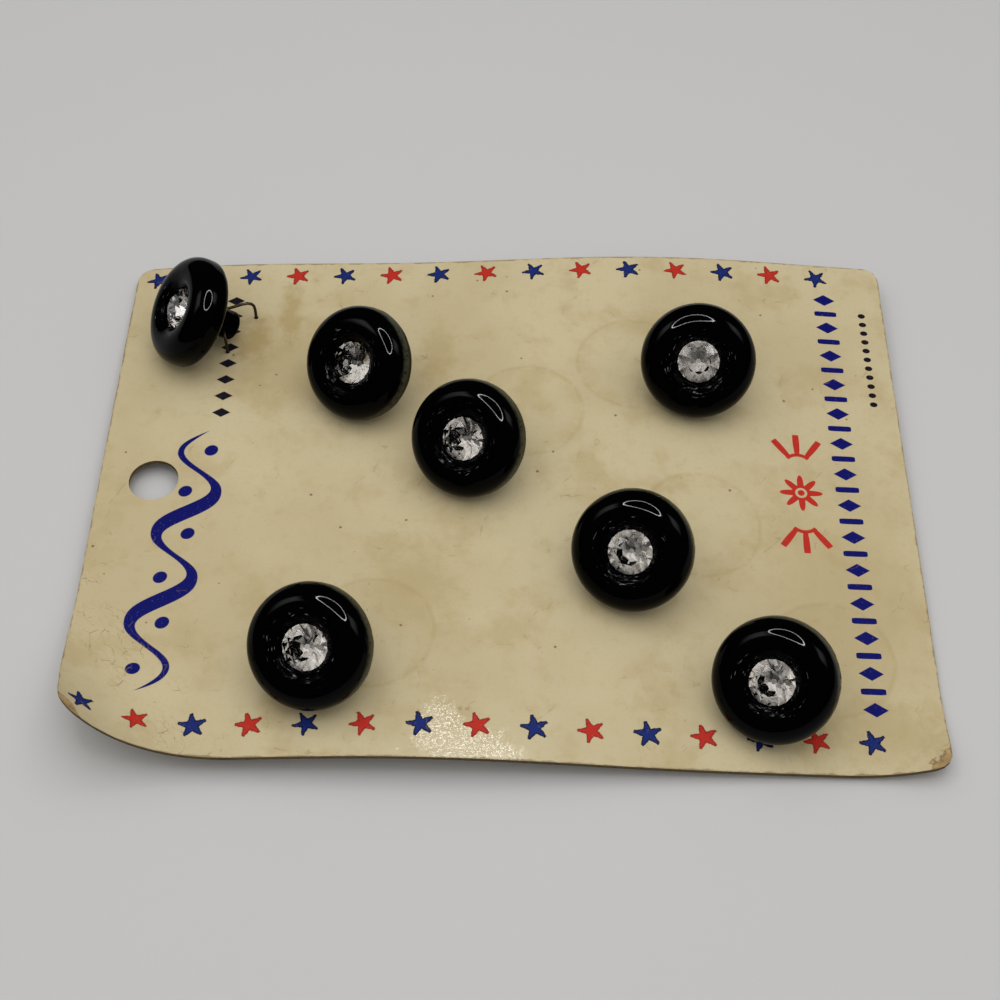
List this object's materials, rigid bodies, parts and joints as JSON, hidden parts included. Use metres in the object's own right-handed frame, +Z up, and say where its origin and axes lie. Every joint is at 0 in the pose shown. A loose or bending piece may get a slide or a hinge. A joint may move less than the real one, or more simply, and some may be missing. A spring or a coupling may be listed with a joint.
{
  "type": "card of buttons",
  "caption": "Warped pasteboard card with a punched hang hole, holding black glass shank buttons, each domed with a rhinestone in its middle and wired through the board.",
  "frame": {"origin": "on the table, under the middle of the board", "axes": "+X along the board's long side, from the hang hole's end to the other; +Y from the near long edge to the far one; +Z up, off the printed face"},
  "size_m": [0.1016, 0.077, 0.0162],
  "materials": {
    "board": "buff coated pasteboard, printed, creased and foxed",
    "black_glass": "opaque black pressed glass, fire polished",
    "crystal": "cut clear glass with a foiled back",
    "wire": "tarnished brown"
  },
  "bodies": {
    "root": {"card": "board", "button_1": "black_glass", "button_2": "black_glass", "button_3": "black_glass", "button_4": "black_glass", "button_5": "black_glass", "button_6": "black_glass", "button_7": "black_glass", "rhinestone_1": "crystal", "rhinestone_2": "crystal", "rhinestone_3": "crystal", "rhinestone_4": "crystal", "rhinestone_5": "crystal", "rhinestone_6": "crystal", "rhinestone_7": "crystal", "wire_1": "wire", "wire_2": "wire", "wire_3": "wire", "wire_4": "wire", "wire_5": "wire", "wire_6": "wire", "wire_7": "wire"}
  },
  "joints": []
}
